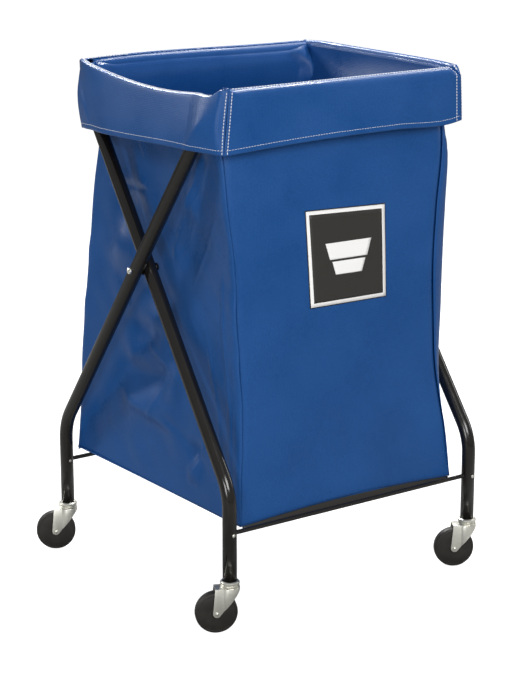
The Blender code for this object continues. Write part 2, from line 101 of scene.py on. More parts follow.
# Materials ------------------------------------------------
class Look:
    """A node material being wired up."""

    def __init__(self, name):
        self.made = bpy.data.materials.new(name)
        self.made.use_nodes = True
        self.tree = self.made.node_tree
        self.shader = self.tree.nodes["Principled BSDF"]
        where = self.node("TexCoord").outputs
        self.flat, self.around = where["UV"], where["Object"]

    def node(self, kind, **settings):
        made = self.tree.nodes.new("ShaderNode" + kind)
        for key, value in settings.items():
            if key in made.bl_rna.properties:
                setattr(made, key, value)
            else:
                made.inputs[key.replace("_", " ")].default_value = value
        return made

    def link(self, source, target):
        self.tree.links.new(source, target)

    def put(self, value, socket):
        """Gives a socket a number or a colour, or joins another node's output to it."""
        if isinstance(value, bpy.types.NodeSocket):
            self.link(value, socket)
        else:
            socket.default_value = (*value, 1) if isinstance(value, tuple) else value

    def number(self, operation, first, second):
        made = self.node("Math", operation=operation)
        for socket, value in zip(made.inputs, (first, second)):
            self.put(value, socket)
        return made.outputs[0]

    def blend(self, first, share, second, other_share):
        parts = self.number("MULTIPLY", first, share), self.number("MULTIPLY", second, other_share)
        return self.number("ADD", *parts)

    def noise(self, scale, detail, roughness):
        made = self.node("TexNoise", Scale=scale, Detail=detail, Roughness=roughness)
        self.link(self.around, made.inputs["Vector"])
        return made.outputs["Fac"]

    def ramp(self, value, low, high, first, last):
        """first up to low, last from high, and a straight blend of the two between."""
        made = self.node("MapRange", From_Min=low, From_Max=high, To_Min=first, To_Max=last)
        self.link(value, made.inputs["Value"])
        return made.outputs["Result"]

    def mix(self, share, first, second):
        made = self.node("Mix", data_type="RGBA")
        for name, value in (("Factor", share), ("A", first), ("B", second)):
            self.put(value, made.inputs[name])
        return made.outputs["Result"]

    def bump(self, height, strength, distance):
        made = self.node("Bump", Strength=strength, Distance=distance)
        self.link(height, made.inputs["Height"])
        self.link(made.outputs["Normal"], self.shader.inputs["Normal"])

    def set(self, **values):
        for key, value in values.items():
            self.put(value, self.shader.inputs[key.replace("_", " ")])
        return self.made


def vinyl():
    """Vinyl-coated cloth: its woven scrim shows as a fine check in the sheen."""
    look = Look("vinyl")
    threads = []
    for direction in ("X", "Y"):
        wave = look.node("TexWave", bands_direction=direction, Scale=105.0, Distortion=0.6, Detail=1.0)
        look.link(look.flat, wave.inputs["Vector"])
        threads.append(wave.outputs["Fac"])
    weave = look.number("MULTIPLY", threads[0], threads[1])
    slow = look.noise(7.0, 4, 0.55)
    fine = look.noise(60.0, 3, 0.6)
    grain = look.noise(420.0, 2, 0.7)
    shade = look.ramp(look.blend(slow, 0.45, grain, 0.55), 0.38, 0.62, 0.0, 1.0)
    tone = look.mix(shade, (0.008, 0.064, 0.228), (0.0135, 0.084, 0.286))
    look.bump(look.blend(weave, 0.5, fine, 0.35), 0.3, 0.0008)
    patches = look.ramp(slow, 0.35, 0.65, 0.24, 0.46)
    rough = look.number("ADD", patches, look.number("MULTIPLY", weave, 0.06))
    return look.set(Base_Color=tone, Roughness=rough, Specular_IOR_Level=0.24)


def paint(name, colour, roughness, grain):
    """Baked-on paint over tube, with a slight ripple in its gloss."""
    look = Look(name)
    ripple = look.noise(90.0, 2, 0.5)
    rough = look.ramp(look.noise(25.0, 4, 0.6), 0.3, 0.7, roughness - 0.04, roughness + 0.06)
    look.bump(ripple, grain, 0.0004)
    return look.set(Base_Color=colour, Roughness=rough, Specular_IOR_Level=0.55)


def metal(name, colour, roughness):
    """Zinc plate: dull in patches where it has been handled."""
    look = Look(name)
    patches = look.noise(70.0, 5, 0.6)
    handled = tuple(0.86 * part for part in colour)
    tone = look.mix(look.ramp(patches, 0.35, 0.65, 0.0, 1.0), colour, handled)
    rough = look.ramp(patches, 0.3, 0.7, roughness - 0.05, roughness + 0.08)
    look.bump(look.noise(400.0, 2, 0.5), 0.05, 0.0003)
    return look.set(Base_Color=tone, Roughness=rough, Metallic=1.0)


def rubber():
    look = Look("rubber")
    dust = look.noise(45.0, 5, 0.65)
    tone = look.mix(look.ramp(dust, 0.45, 0.75, 0.0, 1.0), (0.015, 0.013, 0.011), (0.027, 0.024, 0.02))
    look.bump(look.noise(300.0, 3, 0.6), 0.12, 0.0004)
    rough = look.ramp(dust, 0.3, 0.7, 0.42, 0.58)
    return look.set(Base_Color=tone, Roughness=rough, Specular_IOR_Level=0.45)


def plain(name, colour, roughness, grain=0.05):
    """A dull surface with a fine grain."""
    look = Look(name)
    look.bump(look.noise(500.0, 2, 0.5), grain, 0.0003)
    return look.set(Base_Color=colour, Roughness=roughness)


VINYL = vinyl()
PAINT = paint("paint", (0.0085, 0.0075, 0.0065), 0.17, 0.04)
ZINC = metal("zinc", (0.93, 0.92, 0.84), 0.36)
RUBBER = rubber()
PLASTIC = plain("plastic", (0.018, 0.018, 0.018), 0.5)
THREAD = plain("thread", (0.72, 0.74, 0.8), 0.8, 0.2)
LABEL_BLACK = plain("label_black", (0.024, 0.022, 0.019), 0.5, 0.1)
LABEL_WHITE = plain("label_white", (0.95, 0.94, 0.93), 0.55, 0.1)


# Mesh helpers ---------------------------------------------
def place(points):
    """Points about the pivots' upright line, in the part's own frame."""
    return np.asarray(points, float) + np.array(SHIFT)


def show(name, data):
    made = bpy.data.objects.new(name, data)
    bpy.context.scene.collection.objects.link(made)
    return made


def unit_grid(columns, rows):
    """Two arrays that go from 0 to 1, one along the columns and one along the rows."""
    return np.meshgrid(np.linspace(0, 1, columns), np.linspace(0, 1, rows), indexing="ij")


def split(first, second, longest):
    """Points from first up to second, in steps of about a length."""
    count = max(1, round((second - first).length / longest))
    return [first.lerp(second, step / count) for step in range(count)]


def link(name, data, material, body=None, smooth_angle=40):
    """Shows a mesh with a finish and the body it rides on."""
    made = show(name, data)
    data.materials.clear()
    data.materials.append(material)
    data.shade_smooth()
    if smooth_angle:
        data.set_sharp_from_angle(angle=math.radians(smooth_angle))
    if body:
        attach(made, body)
    return made


def mesh(name, points, faces):
    data = bpy.data.meshes.new(name)
    data.from_pydata([tuple(map(float, p)) for p in points], [], faces)
    data.update()
    return data


def tidy(data):
    """Merges doubled points and turns every face outwards."""
    bm = bmesh.new()
    bm.from_mesh(data)
    bmesh.ops.remove_doubles(bm, verts=bm.verts, dist=0.000005)
    bmesh.ops.recalc_face_normals(bm, faces=bm.faces)
    bm.to_mesh(data)
    bm.free()
    return data


def lathe(name, profile, steps, ring=False):
    """A turned solid about z. The profile's (radius, height) points run down its outer side."""
    count = len(profile)
    points, faces = [], []
    for step in range(steps):
        turn = 2 * math.pi * step / steps
        points += [(r * math.cos(turn), r * math.sin(turn), h) for r, h in profile]
    last = count if ring else count - 1
    for step in range(steps):
        here, there = step * count, (step + 1) % steps * count
        for row in range(last):
            after = (row + 1) % count
            faces.append((here + row, here + after, there + after, there + row))
    return tidy(mesh(name, points, faces))


def sweep(name, path, radius, sides):
    """An open-ended tube along a path of points."""
    points, faces = [], []
    normal = None
    for index, here in enumerate(path):
        before, after = path[max(index - 1, 0)], path[min(index + 1, len(path) - 1)]
        along = (after - before).normalized()
        if normal is None:
            normal = along.orthogonal().normalized()
        normal = (normal - along * normal.dot(along)).normalized()
        side = along.cross(normal)
        for step in range(sides):
            turn = 2 * math.pi * step / sides
            points.append(here + radius * (math.cos(turn) * normal + math.sin(turn) * side))
    for here in range(0, (len(path) - 1) * sides, sides):
        there = here + sides
        for step in range(sides):
            after = (step + 1) % sides
            faces.append((here + step, there + step, there + after, here + after))
    return tidy(mesh(name, points, faces))


def between(t, run, first, last, first_slope, last_slope):
    """A cubic from first to last with those slopes at its ends. t goes from 0 to 1 over the run."""
    low = (2 * t**3 - 3 * t**2 + 1) * first + (t**3 - 2 * t**2 + t) * run * first_slope
    high = (3 * t**2 - 2 * t**3) * last + (t**3 - t**2) * run * last_slope
    return low + high


def spline(*points):
    """A smooth curve through (place, value) points, as a function of place."""
    places, values = np.array(points, float).T
    slopes = np.gradient(values, places)

    def at(x):
        x = np.clip(x, places[0], places[-1])
        i = np.clip(np.searchsorted(places, x) - 1, 0, len(places) - 2)
        run = places[i + 1] - places[i]
        return between((x - places[i]) / run, run, values[i], values[i + 1], slopes[i], slopes[i + 1])

    return at


def straight(*points):
    """A function through points, straight from each to the next."""
    xs, ys = np.array(points, float).T
    return lambda x: np.interp(x, xs, ys)


def smooth(x, low, high):
    t = np.clip((x - low) / (high - low), 0, 1)
    return t * t * (3 - 2 * t)


def ridge(a, b, first, last, width, height, fade=0.02):
    """A crease that runs between two points of a surface's own flat coordinates."""
    first, last = np.array(first, float), np.array(last, float)
    run = last - first
    length = np.hypot(*run)
    along = ((a - first[0]) * run[0] + (b - first[1]) * run[1]) / length
    off = ((a - first[0]) * -run[1] + (b - first[1]) * run[0]) / length
    inside = smooth(along, -fade, fade) * (1 - smooth(along, length - fade, length + fade))
    return height * inside * np.exp(-np.abs(off / width) ** 1.5)


def baked_mesh(made):
    """An object's mesh with its modifiers applied."""
    return bpy.data.meshes.new_from_object(made.evaluated_get(bpy.context.evaluated_depsgraph_get()))


def cloth(name, grid, material, thickness=CLOTH):
    """A sheet of cloth through a grid of points, with its flat shape as its texture coordinates.

    Returns the object and the cut's flat width and length.
    """
    grid = place(grid)
    across, up = grid.shape[0] - 1, grid.shape[1] - 1
    steps_across = np.linalg.norm(np.diff(grid, axis=0), axis=2)
    steps_up = np.linalg.norm(np.diff(grid, axis=1), axis=2)
    width, length = steps_across.sum(0).mean(), steps_up.sum(1).mean()
    u = np.vstack([np.zeros((1, up + 1)), np.cumsum(steps_across, 0)])
    v = np.hstack([np.zeros((across + 1, 1)), np.cumsum(steps_up, 1)])
    u -= u.mean(0)
    faces = []
    for i in range(across):
        for j in range(up):
            face = [(i, j), (i + 1, j), (i + 1, j + 1), (i, j + 1)]
            faces.append([a * (up + 1) + b for a, b in face])
    data = mesh(name, grid.reshape(-1, 3), faces)
    layer = data.uv_layers.new(name="flat")
    flat = np.stack([u.ravel(), v.ravel()], 1)
    order = np.array([loop.vertex_index for loop in data.loops])
    layer.data.foreach_set("uv", flat[order].ravel().astype(np.float32))
    made = link(name, data, material, smooth_angle=None)
    sheet = made.modifiers.new("thickness", "SOLIDIFY")
    sheet.thickness = thickness
    sheet.offset = 0
    baked = baked_mesh(made)
    made.modifiers.clear()
    made.data = baked
    baked.name = name
    return made, (float(width), float(length))


def fold_with_bag(piece):
    """The piece is part of the bag: it rides on the bag's body."""
    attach(piece, "bag")
    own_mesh(piece)
    return piece


# Frames ---------------------------------------------------
def rounded_path(corners, radii):
    """A bent tube's centreline, with an arc of the bending radius at each corner."""
    corners = [Vector(c) for c in corners]
    path, steps = [corners[0]], 14
    for before, corner, after, radius in zip(corners, corners[1:], corners[2:], radii):
        back, ahead = (before - corner).normalized(), (after - corner).normalized()
        half = back.angle(ahead) / 2
        centre = corner + (back + ahead).normalized() * radius / math.sin(half)
        start = corner + back * radius / math.tan(half) - centre
        end = corner + ahead * radius / math.tan(half) - centre
        for step in range(steps + 1):
            turn = Matrix.Rotation((math.pi - 2 * half) * step / steps, 3, start.cross(end))
            path.append(centre + turn @ start)
    path.append(corners[-1])
    return path


def frame_path(middle, foot_y, top_y):
    corners = [
        (middle - FOOT_HALF_WIDTH, foot_y, LEG_BOTTOM),
        (middle - FOOT_HALF_WIDTH, foot_y, KNEE_HEIGHT),
        (middle - TOP_HALF_WIDTH, top_y, TOP_BAR_HEIGHT),
        (middle + TOP_HALF_WIDTH, top_y, TOP_BAR_HEIGHT),
        (middle + FOOT_HALF_WIDTH, foot_y, KNEE_HEIGHT),
        (middle + FOOT_HALF_WIDTH, foot_y, LEG_BOTTOM),
    ]
    return rounded_path(corners, [KNEE_RADIUS, SHOULDER_RADIUS, SHOULDER_RADIUS, KNEE_RADIUS])


FRONT_BAR_PATH = frame_path(-FRAME_STEP, FOOT_Y, -TOP_BAR_Y)
BACK_BAR_PATH = frame_path(0, -FOOT_Y, TOP_BAR_Y)


def tube(name, path, body, node):
    data = sweep(name, [p + SHIFT for p in path], TUBE_RADIUS, 32)
    made = link(name, data, PAINT, smooth_angle=60)
    wall = made.modifiers.new("wall", "SOLIDIFY")
    wall.thickness = TUBE_WALL
    wall.offset = -1
    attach(made, body)
    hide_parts(node)


# Casters --------------------------------------------------
def prism(name, outline, low, high):
    """A flat outline given thickness along z."""
    bm = bmesh.new()
    face = bm.faces.new([bm.verts.new((x, y, low)) for x, y in outline])
    grown = bmesh.ops.extrude_face_region(bm, geom=[face])
    tops = [v for v in grown["geom"] if isinstance(v, bmesh.types.BMVert)]
    bmesh.ops.translate(bm, verts=tops, vec=(0, 0, high - low))
    bmesh.ops.recalc_face_normals(bm, faces=bm.faces)
    data = bpy.data.meshes.new(name)
    bm.to_mesh(data)
    bm.free()
    return show(name, data)


def fork_mesh():
    """The stamped fork: a collar and two side plates, cut to its side view, with its edges broken."""

    def plan(radius, half_width, back):
        """A round front that runs back in two straight sides."""
        meet = math.asin(half_width / radius)
        turns = [meet + (2 * math.pi - 2 * meet) * step / 56 for step in range(57)]
        arc = [(radius * math.cos(turn), radius * math.sin(turn)) for turn in turns]
        return [(back, half_width), *arc, (back, -half_width)]

    boss = 0.0072
    side = [(0.0275, CROWN_TOP)]
    for step in range(19):
        turn = math.radians(4 - 154 * step / 18)
        side.append((TRAIL + boss * math.cos(turn), WHEEL_RADIUS + boss * math.sin(turn)))
    side += [(-0.0075, 0.067), (-0.019, CROWN_BOTTOM), (-0.019, CROWN_TOP)]
    fork = prism("fork", plan(0.018, 0.0135, 0.04), 0.028, CROWN_TOP)
    hollow = prism("hollow", plan(0.016, 0.0115, 0.042), 0.02, CROWN_BOTTOM)
    view = prism("view", side, -0.03, 0.03)
    view.rotation_euler = (math.pi / 2, 0, 0)
    for cutter, operation in ((hollow, "DIFFERENCE"), (view, "INTERSECT")):
        change = fork.modifiers.new(operation, "BOOLEAN")
        change.object = cutter
        change.operation = operation
        change.solver = "EXACT"
    bevel = fork.modifiers.new("edges", "BEVEL")
    bevel.width = 0.0006
    bevel.segments = 2
    bevel.limit_method = "ANGLE"
    bevel.angle_limit = math.radians(40)
    bpy.context.view_layer.update()
    data = baked_mesh(fork)
    for piece in (fork, hollow, view):
        bpy.data.objects.remove(piece)
    return data


def moved(data, matrix, name):
    copy = data.copy()
    copy.name = name
    copy.transform(matrix)
    return copy


def casters():
    fork = fork_mesh()
    top = LEG_BOTTOM - 0.0003
    cup = [
        (0.0, top), (0.0128, top), (0.014, top + 0.0006), (0.0165, top - 0.0004),
        (0.0174, top - 0.0014), (0.0176, top - 0.003), (0.0172, top - 0.0052), (0.0162, top - 0.0062),
        (0.004, top - 0.0062), (0.004, CROWN_BOTTOM - 0.0003), (0.0065, CROWN_BOTTOM - 0.0003),
        (0.0063, CROWN_BOTTOM - 0.0016), (0.005, CROWN_BOTTOM - 0.0026), (0.0, CROWN_BOTTOM - 0.0028),
    ]
    race = [
        (0.0043, CROWN_TOP + 0.005), (0.014, CROWN_TOP + 0.005), (0.0155, CROWN_TOP + 0.0046),
        (0.017, CROWN_TOP + 0.0034), (0.0172, CROWN_TOP + 0.002), (0.0166, CROWN_TOP + 0.0003),
        (0.0043, CROWN_TOP + 0.0003),
    ]
    half = 0.0103  # of the wheel's width
    side = [
        (0.0033, half + 0.0006), (0.008, half + 0.0006), (0.0092, half + 0.0002),
        (0.0098, half - 0.001), (0.0105, half - 0.0014), (0.0315, half - 0.0008),
        (0.0326, half - 0.0013), (0.0333, half - 0.0013), (0.034, half - 0.0006),
        (0.0352, half - 0.0008), (0.0366, half - 0.0016), (0.0376, half - 0.0032),
        (0.038, half - 0.0052), (WHEEL_RADIUS, 0.002),
    ]
    wheel = lathe("wheel", side + [(r, -h) for r, h in reversed(side)], 72, ring=True)
    head = 0.0138  # the plane of the fork's outside, where the axle's heads sit
    axle = [
        (0.0, head + 0.0022), (0.0016, head + 0.0021), (0.0028, head + 0.0014),
        (0.0034, head + 0.0004), (0.0042, head + 0.0003), (0.0042, head), (0.003, head),
    ]
    axle = lathe("axle", axle + [(r, -h) for r, h in reversed(axle)], 24)
    cup, race = lathe("cup", cup, 48), lathe("race", race, 48, ring=True)
    across = Matrix.Rotation(math.pi / 2, 4, "X")
    for where, (x_sign, y_sign) in CORNERS.items():
        middle, holder = (-FRAME_STEP, BARS[0]) if y_sign > 0 else (0, BARS[1])
        foot = Vector((middle + x_sign * FOOT_HALF_WIDTH, y_sign * FOOT_Y, 0)) + SHIFT
        swivel = math.radians(SWIVEL_DEGREES[where])
        stand = Matrix.Translation(foot) @ Matrix.Rotation(swivel, 4, "Z")
        hub = stand @ Matrix.Translation((TRAIL, 0, WHEEL_RADIUS)) @ across
        for name, data, matrix, material, body, node in (
            ("stem_cup_", cup, stand, ZINC, holder, "caster_stem_"),
            ("race_", race, stand, ZINC, "swivel_" + where, "ball_race_"),
            ("fork_", fork, stand, ZINC, "swivel_" + where, "caster_fork_"),
            ("axle_", axle, hub, ZINC, "swivel_" + where, "wheel_axle_"),
            ("wheel_tyre_", wheel, hub, RUBBER, "wheel_" + where, "caster_wheel_"),
        ):
            made = link(name + where, moved(data, matrix, name + where), material, body, 30)
            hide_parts(node + where)


# Bag shape ------------------------------------------------
# Where the bag's corner seams are, and how deep its front and back are, against height.
front_y = spline(
    (0.17, -0.2436), (0.45, -0.2394), (0.7, -0.2358), (0.84, -0.232), (0.89, -0.2235), (0.92, -0.2225),
    (0.945, -0.23), (0.97, -0.232),
)
back_y = spline(
    (0.17, 0.25), (0.5, 0.25), (0.65, 0.245), (0.79, 0.236), (0.86, 0.226), (0.9, 0.2215),
    (0.92, 0.2225), (0.945, 0.23), (0.97, 0.2318),
)
front_left = spline(
    (0.17, -0.2403), (0.22, -0.2382), (0.287, -0.2352), (0.377, -0.2323), (0.44, -0.2347),
    (0.54, -0.2407), (0.656, -0.2463), (0.745, -0.2579), (0.843, -0.2649), (0.97, -0.264),
)
front_right = spline(
    (0.17, 0.243), (0.22, 0.2375), (0.28, 0.229), (0.34, 0.216), (0.4, 0.2047), (0.5, 0.1986),
    (0.6, 0.196), (0.7, 0.2019), (0.8, 0.212), (0.86, 0.216), (0.97, 0.219),
)
right_bulge = spline(
    (0.17, 0.0), (0.25, 0.002), (0.31, 0.009), (0.36, 0.016), (0.4, 0.022), (0.46, 0.029),
    (0.54, 0.036), (0.62, 0.039), (0.7, 0.035), (0.78, 0.025), (0.84, 0.017), (0.9, 0.006),
    (0.97, 0.0),
)
back_left = spline(
    (0.17, -0.285), (0.3, -0.272), (0.4, -0.2646), (0.5, -0.256), (0.65, -0.242), (0.73, -0.2344),
    (0.81, -0.2265), (0.88, -0.23), (0.97, -0.24),
)
back_right = spline((0.17, 0.231), (0.45, 0.23), (0.65, 0.23), (0.81, 0.233), (0.97, 0.26))

# The cuff, against depth: how far out its hem and its rim are on each side, and how high.
HEM_OUT = {
    -1: spline(
        (-0.26, 0.2828), (-0.23, 0.291), (-0.2, 0.2996), (-0.172, 0.3062), (-0.13, 0.3072),
        (-0.045, 0.3068), (0.054, 0.3045), (0.108, 0.3), (0.168, 0.2835), (0.205, 0.2735),
        (0.256, 0.25),
    ),
    1: spline(
        (-0.26, 0.2345), (-0.248, 0.244), (-0.22, 0.251), (-0.1, 0.259), (0.05, 0.27), (0.15, 0.28),
        (0.19, 0.283), (0.225, 0.2795), (0.256, 0.272),
    ),
}
HEM_HIGH = {
    -1: spline(
        (-0.26, 0.8483), (-0.2, 0.8505), (-0.15, 0.8503), (-0.005, 0.845), (0.168, 0.8372),
        (0.256, 0.8285),
    ),
    1: spline((-0.26, 0.863), (-0.23, 0.859), (0.0, 0.855), (0.256, 0.85)),
}
RIM_OUT = {
    -1: spline(
        (-0.26, 0.2718), (-0.235, 0.279), (-0.19, 0.285), (0.1, 0.287), (0.19, 0.283), (0.225, 0.27),
        (0.256, 0.252),
    ),
    1: spline(
        (-0.26, 0.2305), (-0.245, 0.2385), (-0.225, 0.247), (-0.19, 0.256), (-0.1, 0.264),
        (0.1, 0.268), (0.2, 0.27), (0.256, 0.266),
    ),
}
RIM_HIGH = {
    -1: spline(
        (-0.26, 0.959), (-0.246, 0.956), (-0.228, 0.9462), (-0.19, 0.944), (-0.1, 0.9393),
        (0.0, 0.9405), (0.097, 0.9472), (0.188, 0.9575), (0.225, 0.9585), (0.256, 0.956),
    ),
    1: straight((-0.26, 0.944), (-0.238, 0.9605), (-0.228, 0.9595), (0.2, 0.96), (0.256, 0.9573)),
}
FRONT_HEM = spline(
    (0, 0.8483), (0.17, 0.8537), (0.47, 0.8598), (0.7, 0.8609), (0.97, 0.8602), (1, 0.863),
)
FRONT_RIM = straight(
    (0, 0.9596), (0.018, 0.9568), (0.035, 0.9566), (0.3, 0.957), (0.7, 0.9582), (0.958, 0.9586),
    (0.978, 0.9515), (1, 0.944),
)
BACK_HEM = spline((0, 0.8285), (1, 0.85))
BACK_RIM = spline((0, 0.956), (0.06, 0.958), (0.13, 0.959), (0.9, 0.957), (1, 0.9573))


def tube_line(side, legs_only=False):
    """Both frames' centrelines on one side, as points close together."""
    points = []
    for path, middle in ((FRONT_BAR_PATH, -FRAME_STEP), (BACK_BAR_PATH, 0)):
        least = side * middle + TOP_HALF_WIDTH - 0.0008 if legs_only else 0.14
        for first, second in zip(path, path[1:]):
            if side * first.x < least or side * second.x < least:
                continue
            points += split(first, second, 0.004)
    return np.array(points)


def soft_max(a, b, give):
    return 0.5 * (a + b + np.sqrt((a - b) ** 2 + give * give))


def reach(a, b, points, gap, width, slope, squeeze=1.0):
    """How far out cloth may be if it has to stay inside tubes, at places (a, b) across that way out.

    points are (out, a, b) on the tubes' centrelines. The limit is level up to a width off each of
    them, and rises from there by the slope. squeeze is how much a's distances shrink in the fold.
    """
    least = np.full(a.shape, 1.0)
    for out, tube_a, tube_b in points:
        off = np.hypot(squeeze * (a - tube_a), b - tube_b)
        least = np.minimum(least, out - TUBE_RADIUS - gap + slope * np.maximum(off - width, 0))
    return least


def outside_tubes(out, y, z, side):
    """Carries cloth that hangs outside the tubes clear of them, drawn into a ridge over each."""
    least = -reach(y, z, tube_line(side) * (-side, 1, 1), 0.0026, 0.003, 0.33)
    return soft_max(out, least, 0.0012)


def folded_legs(side):
    """The legs' places when the cart is folded, as points of the bag's shape before it closes up."""
    points = tube_line(side, legs_only=True)
    on_front_bar = points[:, 1] * (points[:, 2] - PIVOT.z) < 0
    turn = math.radians(FOLD_DEGREES) * np.where(on_front_bar, 1, -1)
    y, z = points[:, 1], points[:, 2] - PIVOT.z
    folded_y = y * np.cos(turn) + z * np.sin(turn)
    folded_z = z * np.cos(turn) - y * np.sin(turn) + PIVOT.z
    return np.stack([points[:, 0], folded_y / FOLD_KEEP_INSIDE, folded_z - FOLD_RISE], 1)


def inside_tubes(out, y, z, side):
    """Carries cloth that hangs inside the tubes clear of them, pressed into a hollow behind each."""
    turned = (side, 1, 1)
    folded = reach(y, z, folded_legs(side) * turned, 0.002, 0.0125, 0.8, FOLD_KEEP_INSIDE)
    opened = reach(y, z, tube_line(side, legs_only=True) * turned, 0.0024, 0.019, 0.45)
    return -soft_max(-out, -np.minimum(folded, opened), 0.0016)


def before_bends(y, x, z, end):
    """Carries the bag's upper corners clear of the bends where a frame's legs turn into its bar."""
    path, middle = (FRONT_BAR_PATH, -FRAME_STEP) if end < 0 else (BACK_BAR_PATH, 0)
    low, high = TOP_HALF_WIDTH - SHOULDER_RADIUS, TOP_HALF_WIDTH - 0.0005
    bends = [(end * p.y, p.x, p.z) for p in path if p.z >= 0.8 and low <= abs(p.x - middle) < high]
    most = reach(x, z, bends, 0.0022, 0.011, 1.1)
    return -end * soft_max(-end * y, -most, 0.0012)


def front_bottom(x):
    """Height of the bag's front bottom edge, which bows up between its corners."""
    return FOOT_HEIGHT + 0.0085 * (1 - (x / 0.24) ** 2)


def turn_size(radius, corner, corner_size):
    """Half the width or the height of the turn over a bar, which changes towards the bag's corners."""
    return radius * (1 - corner) + corner_size * corner


def over_bar(x, y, z, side, first, last, radius, corner, rim):
    """Adds rows of cloth turned over a top bar, from one angle off its outer side to another."""
    turn = np.radians(np.linspace(first, last, TURN_ROWS))[None, :]
    tall = turn_size(radius, corner, CORNER_HEIGHT)[:, None]
    wide = turn_size(radius, corner, CORNER_WIDTH)[:, None]
    x_rows = np.repeat(x[:, -1:], TURN_ROWS, 1)
    y_rows = side * (TOP_BAR_Y + wide * np.cos(turn))
    z_rows = (rim[:, None] - tall) + tall * np.sin(turn)
    return np.stack([np.hstack(rows) for rows in ((x, x_rows), (y, y_rows), (z, z_rows))], 2)


def end_panel(side):
    """The bag's front or back panel, from its bottom edge up to its turn over the top bar."""
    u = np.linspace(0, 1, 97)
    if side < 0:
        depth, left, right, rim = front_y, front_left, front_right, FRONT_RIM(u) - RIM_LAP
        bottom = front_bottom(FOOT_LEFT + FOOT_WIDTH * u)
    else:
        depth, left, right, rim = back_y, back_left, back_right, BACK_RIM(u) - RIM_LAP
        bottom = 0.19 + 0.012 * (1 - u)
    corner = smooth(np.abs(2 * u - 1), 0.8, 1.0)
    v = np.linspace(0, 1, PANEL_ROWS + 1)[None, :]
    top = rim - turn_size(PANEL_TURN, corner, CORNER_HEIGHT)
    z = bottom[:, None] + (top - bottom)[:, None] * v
    x_low, x_high = left(z), right(z)
    x = x_low + (x_high - x_low) * u[:, None]
    seam = np.minimum(x - x_low, x_high - x)
    y = depth(z)
    sag = np.sin(np.pi * np.clip((z - 0.19) / 0.7, 0, 1))
    free = smooth(z, 0.18, 0.23) * (1 - smooth(z, 0.88, 0.93))
    y = y - side * 0.0035 * np.exp(-((seam / 0.006) ** 2)) * free
    wander = 0.001 * np.sin(5 * u[:, None] + 3 * z)
    y = y + side * (0.003 * np.sin(np.pi * u)[:, None] + wander) * sag
    low = np.clip((z - 0.18) / 0.1, 0, 1)
    y = y + side * 0.0012 * np.sin(7 * u[:, None] + 0.6) * (1 - low) ** 2
    y = before_bends(y, x, z, side)
    return over_bar(x, y, z, side, 176, 78, PANEL_TURN, corner, rim)


def side_bottom(u, sign):
    """Height of a side panel's bottom edge, from front to back."""
    return FOOT_HEIGHT + (0.026 if sign < 0 else 0.008) * u


def side_panel(sign):
    """A side panel, from its front seam to its back seam, which rolls out to the cuff's rim."""
    u, v = unit_grid(151, 151)
    u = u - 0.03 * np.sin(2 * np.pi * u)
    low = side_bottom(u, sign)
    top_y = -0.2318 + 0.4636 * u
    top = RIM_HIGH[sign](top_y) - 0.006
    z = low + (top - low) * v
    y0, y1 = front_y(z), back_y(z)
    y = y0 + (y1 - y0) * u
    front, back = (front_left, back_left) if sign < 0 else (front_right, back_right)
    out = sign * (front(z) + (back(z) - front(z)) * u)
    near, far = y - y0, y1 - y
    grow = smooth(z, 0.18, 0.24)
    if sign > 0:
        width = 0.03 - 0.018 * smooth(z, 0.62, 0.84)
        out = out + right_bulge(z) * near / width * np.exp(1 - near / width)
        out = out - 0.002 * grow * np.sin(np.pi * np.clip(near / 0.45, 0, 1)) * smooth(near, 0.1, 0.25)
    else:
        out = out + 0.0065 * grow * (1 - np.exp(-near / 0.006)) * np.exp(-near / 0.05)
        out = out - 0.005 * (1 - np.exp(-far / 0.03)) * np.exp(-far / 0.12)
        out = out + 0.004 * grow * (1 - np.exp(-far / 0.006)) * np.exp(-far / 0.03)
        out = out + left_creases(y, z)
    rim = RIM_OUT[sign](top_y) - 0.0178
    out = inside_tubes(out, y, z, sign)
    roll = smooth((z - 0.872) / (top - 0.872), 0.0, 1.0) * smooth(np.minimum(near, far), -0.002, 0.022)
    out = out + (rim - out) * roll
    for end in (-1, 1):
        y = before_bends(y, sign * out, z, end)
    return np.stack([sign * out, y, z], 2)


def facet(y, z, middle, half, tilt):
    """A flat, tilted patch of a panel: its middle, half its size, and its slopes along y and z."""
    off_y, off_z = (y - middle[0]) / half[0], (z - middle[1]) / half[1]
    inside = np.exp(-(np.abs(off_y) ** 3) - np.abs(off_z) ** 3)
    return (tilt[0] * (y - middle[0]) + tilt[1] * (z - middle[1])) * inside


